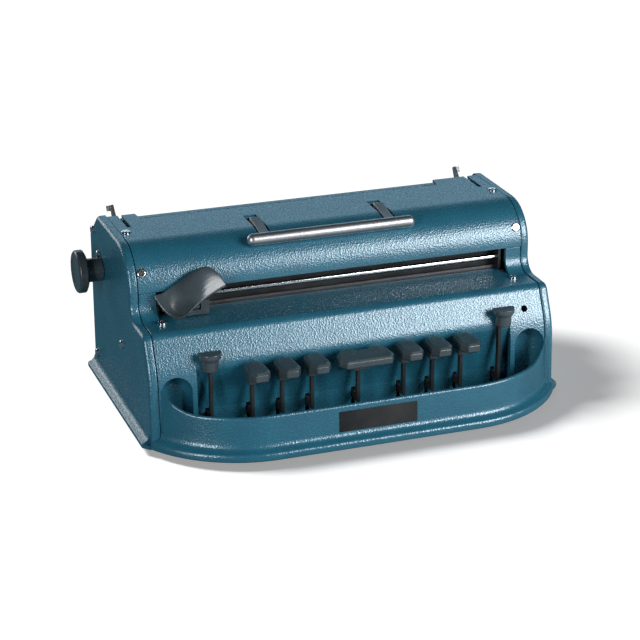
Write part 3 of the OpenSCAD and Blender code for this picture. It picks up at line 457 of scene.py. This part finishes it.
# Width in millimetres of the rounding on each visible piece's edges
EDGE_WIDTH = {
    "left_end_panel": 0.3, "right_end_panel": 0.3, "top_cover": 0.5, "rear_cover": 0.4,
    "left_knob": 0.5, "right_knob": 0.5, "handle_straps": 0.35, "left_release_lever": 0.3,
    "right_release_lever": 0.3, "label_plate": 0.15, "carriage_block": 0.5, "cover_screws": 0.15,
    "side_screws": 0.15, "shelf_screws": 0.15, "left_margin_stop": 0.5, "right_margin_stop": 0.5}
# The same where an end panel meets the covers
SEAM_WIDTH = {"left_end_panel": 1.3, "right_end_panel": 1.3}
# The same for the front housing: the trough's lip, its ends at the panels, and all the rest
LIP_WIDTH, HOUSING_END_WIDTH, HOUSING_EDGE_WIDTH = 1.7, 1.2, 0.6
# Distance in millimetres of that meeting from the middle, and how near it an edge has to be
SEAM, SEAM_REACH = 165.0, 0.6
# Voxel in millimetres and smoothing passes that wear a piece smooth
CAP_WEAR, SADDLE_WEAR = (0.4, 9), (0.5, 12)
# Plated steel inside the slot, with no polish; its colour is darkened to paint in the shade inside the
# slot
SLOT_SHADE_PARTS = ("guide_strip", "left_frame_plate", "right_frame_plate")
KEYS = ("line_key", "dot3", "dot2", "dot1", "space", "dot4", "dot5", "dot6", "back_key")


# Zones of round_zone; p is a point in millimetres

def at_seam(p):
    """Where the covers meet an end panel, at either side."""
    return abs(abs(p.x) - SEAM) < SEAM_REACH


def panel_rim(p):
    """The inner rim of an end panel, clear of its foot and of its back."""
    return at_seam(p) and p.z > 30 and p.y < 60


def trough_lip(p):
    """The lip of the trough with the mouths of its pockets."""
    return p.y < -72 and p.z > 34 and abs(p.x) < 160


def housing_end(p):
    """The ends of the hump and the shelf, behind the trough."""
    return at_seam(p) and p.z > 52 and p.y > -64.8


class WRITER_OT_edges(bpy.types.Operator):
    """Softens the edges of the cast, pressed and turned pieces."""

    bl_idname = "writer.edges"
    bl_label = "Soften edges"

    def execute(self, context):
        for name, width in EDGE_WIDTH.items():
            piece = merged_copy(name)
            if name in SEAM_WIDTH:
                round_zone(piece, panel_rim, SEAM_WIDTH[name] * MM)
            soften(piece, width * MM)
            stand_for(piece, context, name)
        for key in KEYS:
            piece = merged_copy(f"{key}_cap")
            wear_smooth(piece, *CAP_WEAR)
            stand_for(piece, context, f"{key}_cap")
        return {"FINISHED"}


class WRITER_OT_housing(bpy.types.Operator):
    """Rounds the trough's lip and the pockets of the front housing, and softens its other edges."""

    bl_idname = "writer.housing"
    bl_label = "Round front housing"

    def execute(self, context):
        piece = merged_copy("front_housing")
        round_zone(piece, trough_lip, LIP_WIDTH * MM)
        round_zone(piece, housing_end, HOUSING_END_WIDTH * MM)
        soften(piece, HOUSING_EDGE_WIDTH * MM)
        stand_for(piece, context, "front_housing")
        return {"FINISHED"}


class WRITER_OT_saddle(bpy.types.Operator):
    """Rounds the thumb saddle into one smooth band."""

    bl_idname = "writer.saddle"
    bl_label = "Smooth thumb saddle"

    def execute(self, context):
        piece = merged_copy("carriage_lever")
        wear_smooth(piece, *SADDLE_WEAR)
        stand_for(piece, context, "carriage_lever")
        return {"FINISHED"}


class WRITER_OT_finishes(bpy.types.Operator):
    """Gives every carried-over node its finish."""

    bl_idname = "writer.finishes"
    bl_label = "Apply finishes"

    def execute(self, context):
        for name, part in frame["nodes"].items():
            part.data.materials.clear()
            # The pieces inside the slot get the steel darkened to paint in their shade
            finish = "dull_steel" if name in SLOT_SHADE_PARTS else SLOTS[name]
            part.data.materials.append(finishes(context)[finish])
        return {"FINISHED"}


FLOOR_SIZE = 12
# The floor's colour as the camera sees it, and as the machine mirrors it
FLOOR_SEEN, FLOOR_MIRRORED = (0.86, 0.86, 0.86, 1), (0.08, 0.16, 0.2, 1)
# The pale card lies in this direction on the floor and comes up between these distances in metres
CARD_WAY, CARD_START, CARD_FULL = (0.5, -1.0, 0), 0.05, 0.4
WHITE = (1, 1, 1)
# Soft boxes: name, setting with its power, size, place, what it faces and its colour
SOFT_BOXES = (
    ("front_box", "key_power", (0.9, 0.9), (1.05, -1.35, 0.74), (0, 0, 0.08), WHITE),
    ("side_strip", "rim_power", (0.25, 1.0), (-1.3, -1.0, 0.5), (-0.1, 0, 0.08), WHITE),
    ("back_fill", "back_power", (1.2, 0.8), (-1.1, 1.7, 0.6), (0, 0, 0.08), WHITE),
    ("wall", "wall_power", (2.4, 0.9), (0.6, 2.0, 0.85), (0, 0, 0.15), (0.5, 0.8, 1.0)))
SUN_TURN = (math.radians(-26), math.radians(-33), 0)
SUN_WIDTH = math.radians(22)


def build_floor(settings):
    """A pale floor for the camera, and a darker one with a bright card for what mirrors it."""
    bpy.ops.object.select_all(action="DESELECT")
    bpy.ops.mesh.primitive_plane_add(size=FLOOR_SIZE)
    floor = bpy.context.object
    floor.name = "floor"
    material, tree, shader = start_material("pale_floor", Roughness=0.9, Specular_IOR_Level=0.0)
    path = node(tree, "ShaderNodeLightPath")
    toward = node(tree, "ShaderNodeVectorMath",
                  {0: node(tree, "ShaderNodeTexCoord").outputs["Object"], 1: CARD_WAY},
                  operation="DOT_PRODUCT").outputs["Value"]
    tree.links.new(mix_colour(tree, path.outputs["Is Camera Ray"], FLOOR_MIRRORED, FLOOR_SEEN),
                   shader.inputs["Base Color"])
    shader.inputs["Emission Color"].default_value = (*WHITE, 1)
    card = math_node(tree, "MULTIPLY", ramp(tree, toward, CARD_START, CARD_FULL),
                     settings.card_glow)
    glow = node(tree, "ShaderNodeMix",
                {0: path.outputs["Is Camera Ray"], 2: card, 3: settings.floor_glow})
    tree.links.new(glow.outputs[0], shader.inputs["Emission Strength"])
    floor.data.materials.append(material)
    return floor


def build_room(scene, settings):
    """A white room for the camera, dimmer in polished pieces and dimmer still as light."""
    world = bpy.data.worlds.new("room")
    world.use_nodes = True
    scene.world = world
    tree = world.node_tree
    path = node(tree, "ShaderNodeLightPath")
    seen = math_node(tree, "MAXIMUM", path.outputs["Is Camera Ray"],
                     path.outputs["Is Transmission Ray"])
    mirrored = math_node(tree, "MULTIPLY", path.outputs["Is Glossy Ray"], settings.mirrored)
    strength = math_node(tree, "MAXIMUM", math_node(tree, "MAXIMUM", seen, mirrored), settings.sky)
    tree.links.new(strength, tree.nodes["Background"].inputs["Strength"])


def place_lights(settings, floor):
    """Soft boxes on all but the floor, and a wide sun on the floor alone."""
    machine = bpy.data.collections.new("all_but_the_floor")
    machine.objects.link(floor)
    machine.collection_objects[0].light_linking.link_state = "EXCLUDE"
    for name, power, size, place, aim, colour in SOFT_BOXES:
        bpy.ops.object.light_add(type="AREA", location=place)
        lamp = bpy.context.object
        lamp.name = name
        lamp.data.shape = "RECTANGLE"
        lamp.data.size, lamp.data.size_y = size
        lamp.data.energy = getattr(settings, power)
        lamp.data.color = colour
        direction = Vector(aim) - Vector(place)
        lamp.rotation_euler = direction.to_track_quat("-Z", "Y").to_euler()
        lamp.light_linking.receiver_collection = machine

    bpy.ops.object.light_add(type="SUN", rotation=SUN_TURN)
    sun = bpy.context.object
    sun.name = "shadow_light"
    sun.data.energy = settings.sun_strength
    sun.data.angle = SUN_WIDTH
    ground = bpy.data.collections.new("ground")
    ground.objects.link(floor)
    sun.light_linking.receiver_collection = ground


def place_camera(scene, settings):
    """The camera, where it stood for the photograph."""
    bpy.ops.object.camera_add(location=settings.place,
                              rotation=(math.pi / 2 - settings.tilt, 0, -settings.turn))
    camera = bpy.context.object
    camera.data.lens = settings.lens
    camera.data.sensor_width = 36
    scene.camera = camera


class WRITER_OT_stage(bpy.types.Operator):
    """Sets the floor, the room, the lights and the camera."""

    bl_idname = "writer.stage"
    bl_label = "Set the stage"

    def execute(self, context):
        scene = context.scene
        settings = scene.writer_stage
        scene.view_settings.view_transform = "Standard"
        floor = build_floor(settings)
        build_room(scene, settings)
        place_lights(settings, floor)
        place_camera(scene, settings)
        return {"FINISHED"}


class WRITER_PT_panel(bpy.types.Panel):
    """Lists the writer's operators and settings."""

    bl_label = "Braille writer"
    bl_idname = "WRITER_PT_panel"
    bl_space_type = "VIEW_3D"
    bl_region_type = "UI"
    bl_category = "Braille writer"

    def draw(self, context):
        for group in (context.scene.writer_finishes, context.scene.writer_stage):
            for label in group.__annotations__:
                self.layout.prop(group, label)
        for step in STEPS:
            self.layout.operator(step.bl_idname)


STEPS = (WRITER_OT_finishes, WRITER_OT_edges, WRITER_OT_housing, WRITER_OT_saddle, WRITER_OT_stage)
CLASSES = (WriterFinishes, WriterStage) + STEPS + (WRITER_PT_panel,)


def register():
    """Adds the classes and the scene's settings."""
    for kind in CLASSES:
        bpy.utils.register_class(kind)
    bpy.types.Scene.writer_finishes = PointerProperty(type=WriterFinishes)
    bpy.types.Scene.writer_stage = PointerProperty(type=WriterStage)


def unregister():
    """Takes the settings and the classes out again."""
    del bpy.types.Scene.writer_finishes
    del bpy.types.Scene.writer_stage
    for kind in reversed(CLASSES):
        bpy.utils.unregister_class(kind)


def main():
    """Runs each step in order."""
    register()
    for step in STEPS:
        group, name = step.bl_idname.split(".")
        getattr(getattr(bpy.ops, group), name)()


if __name__ == "__main__":
    main()
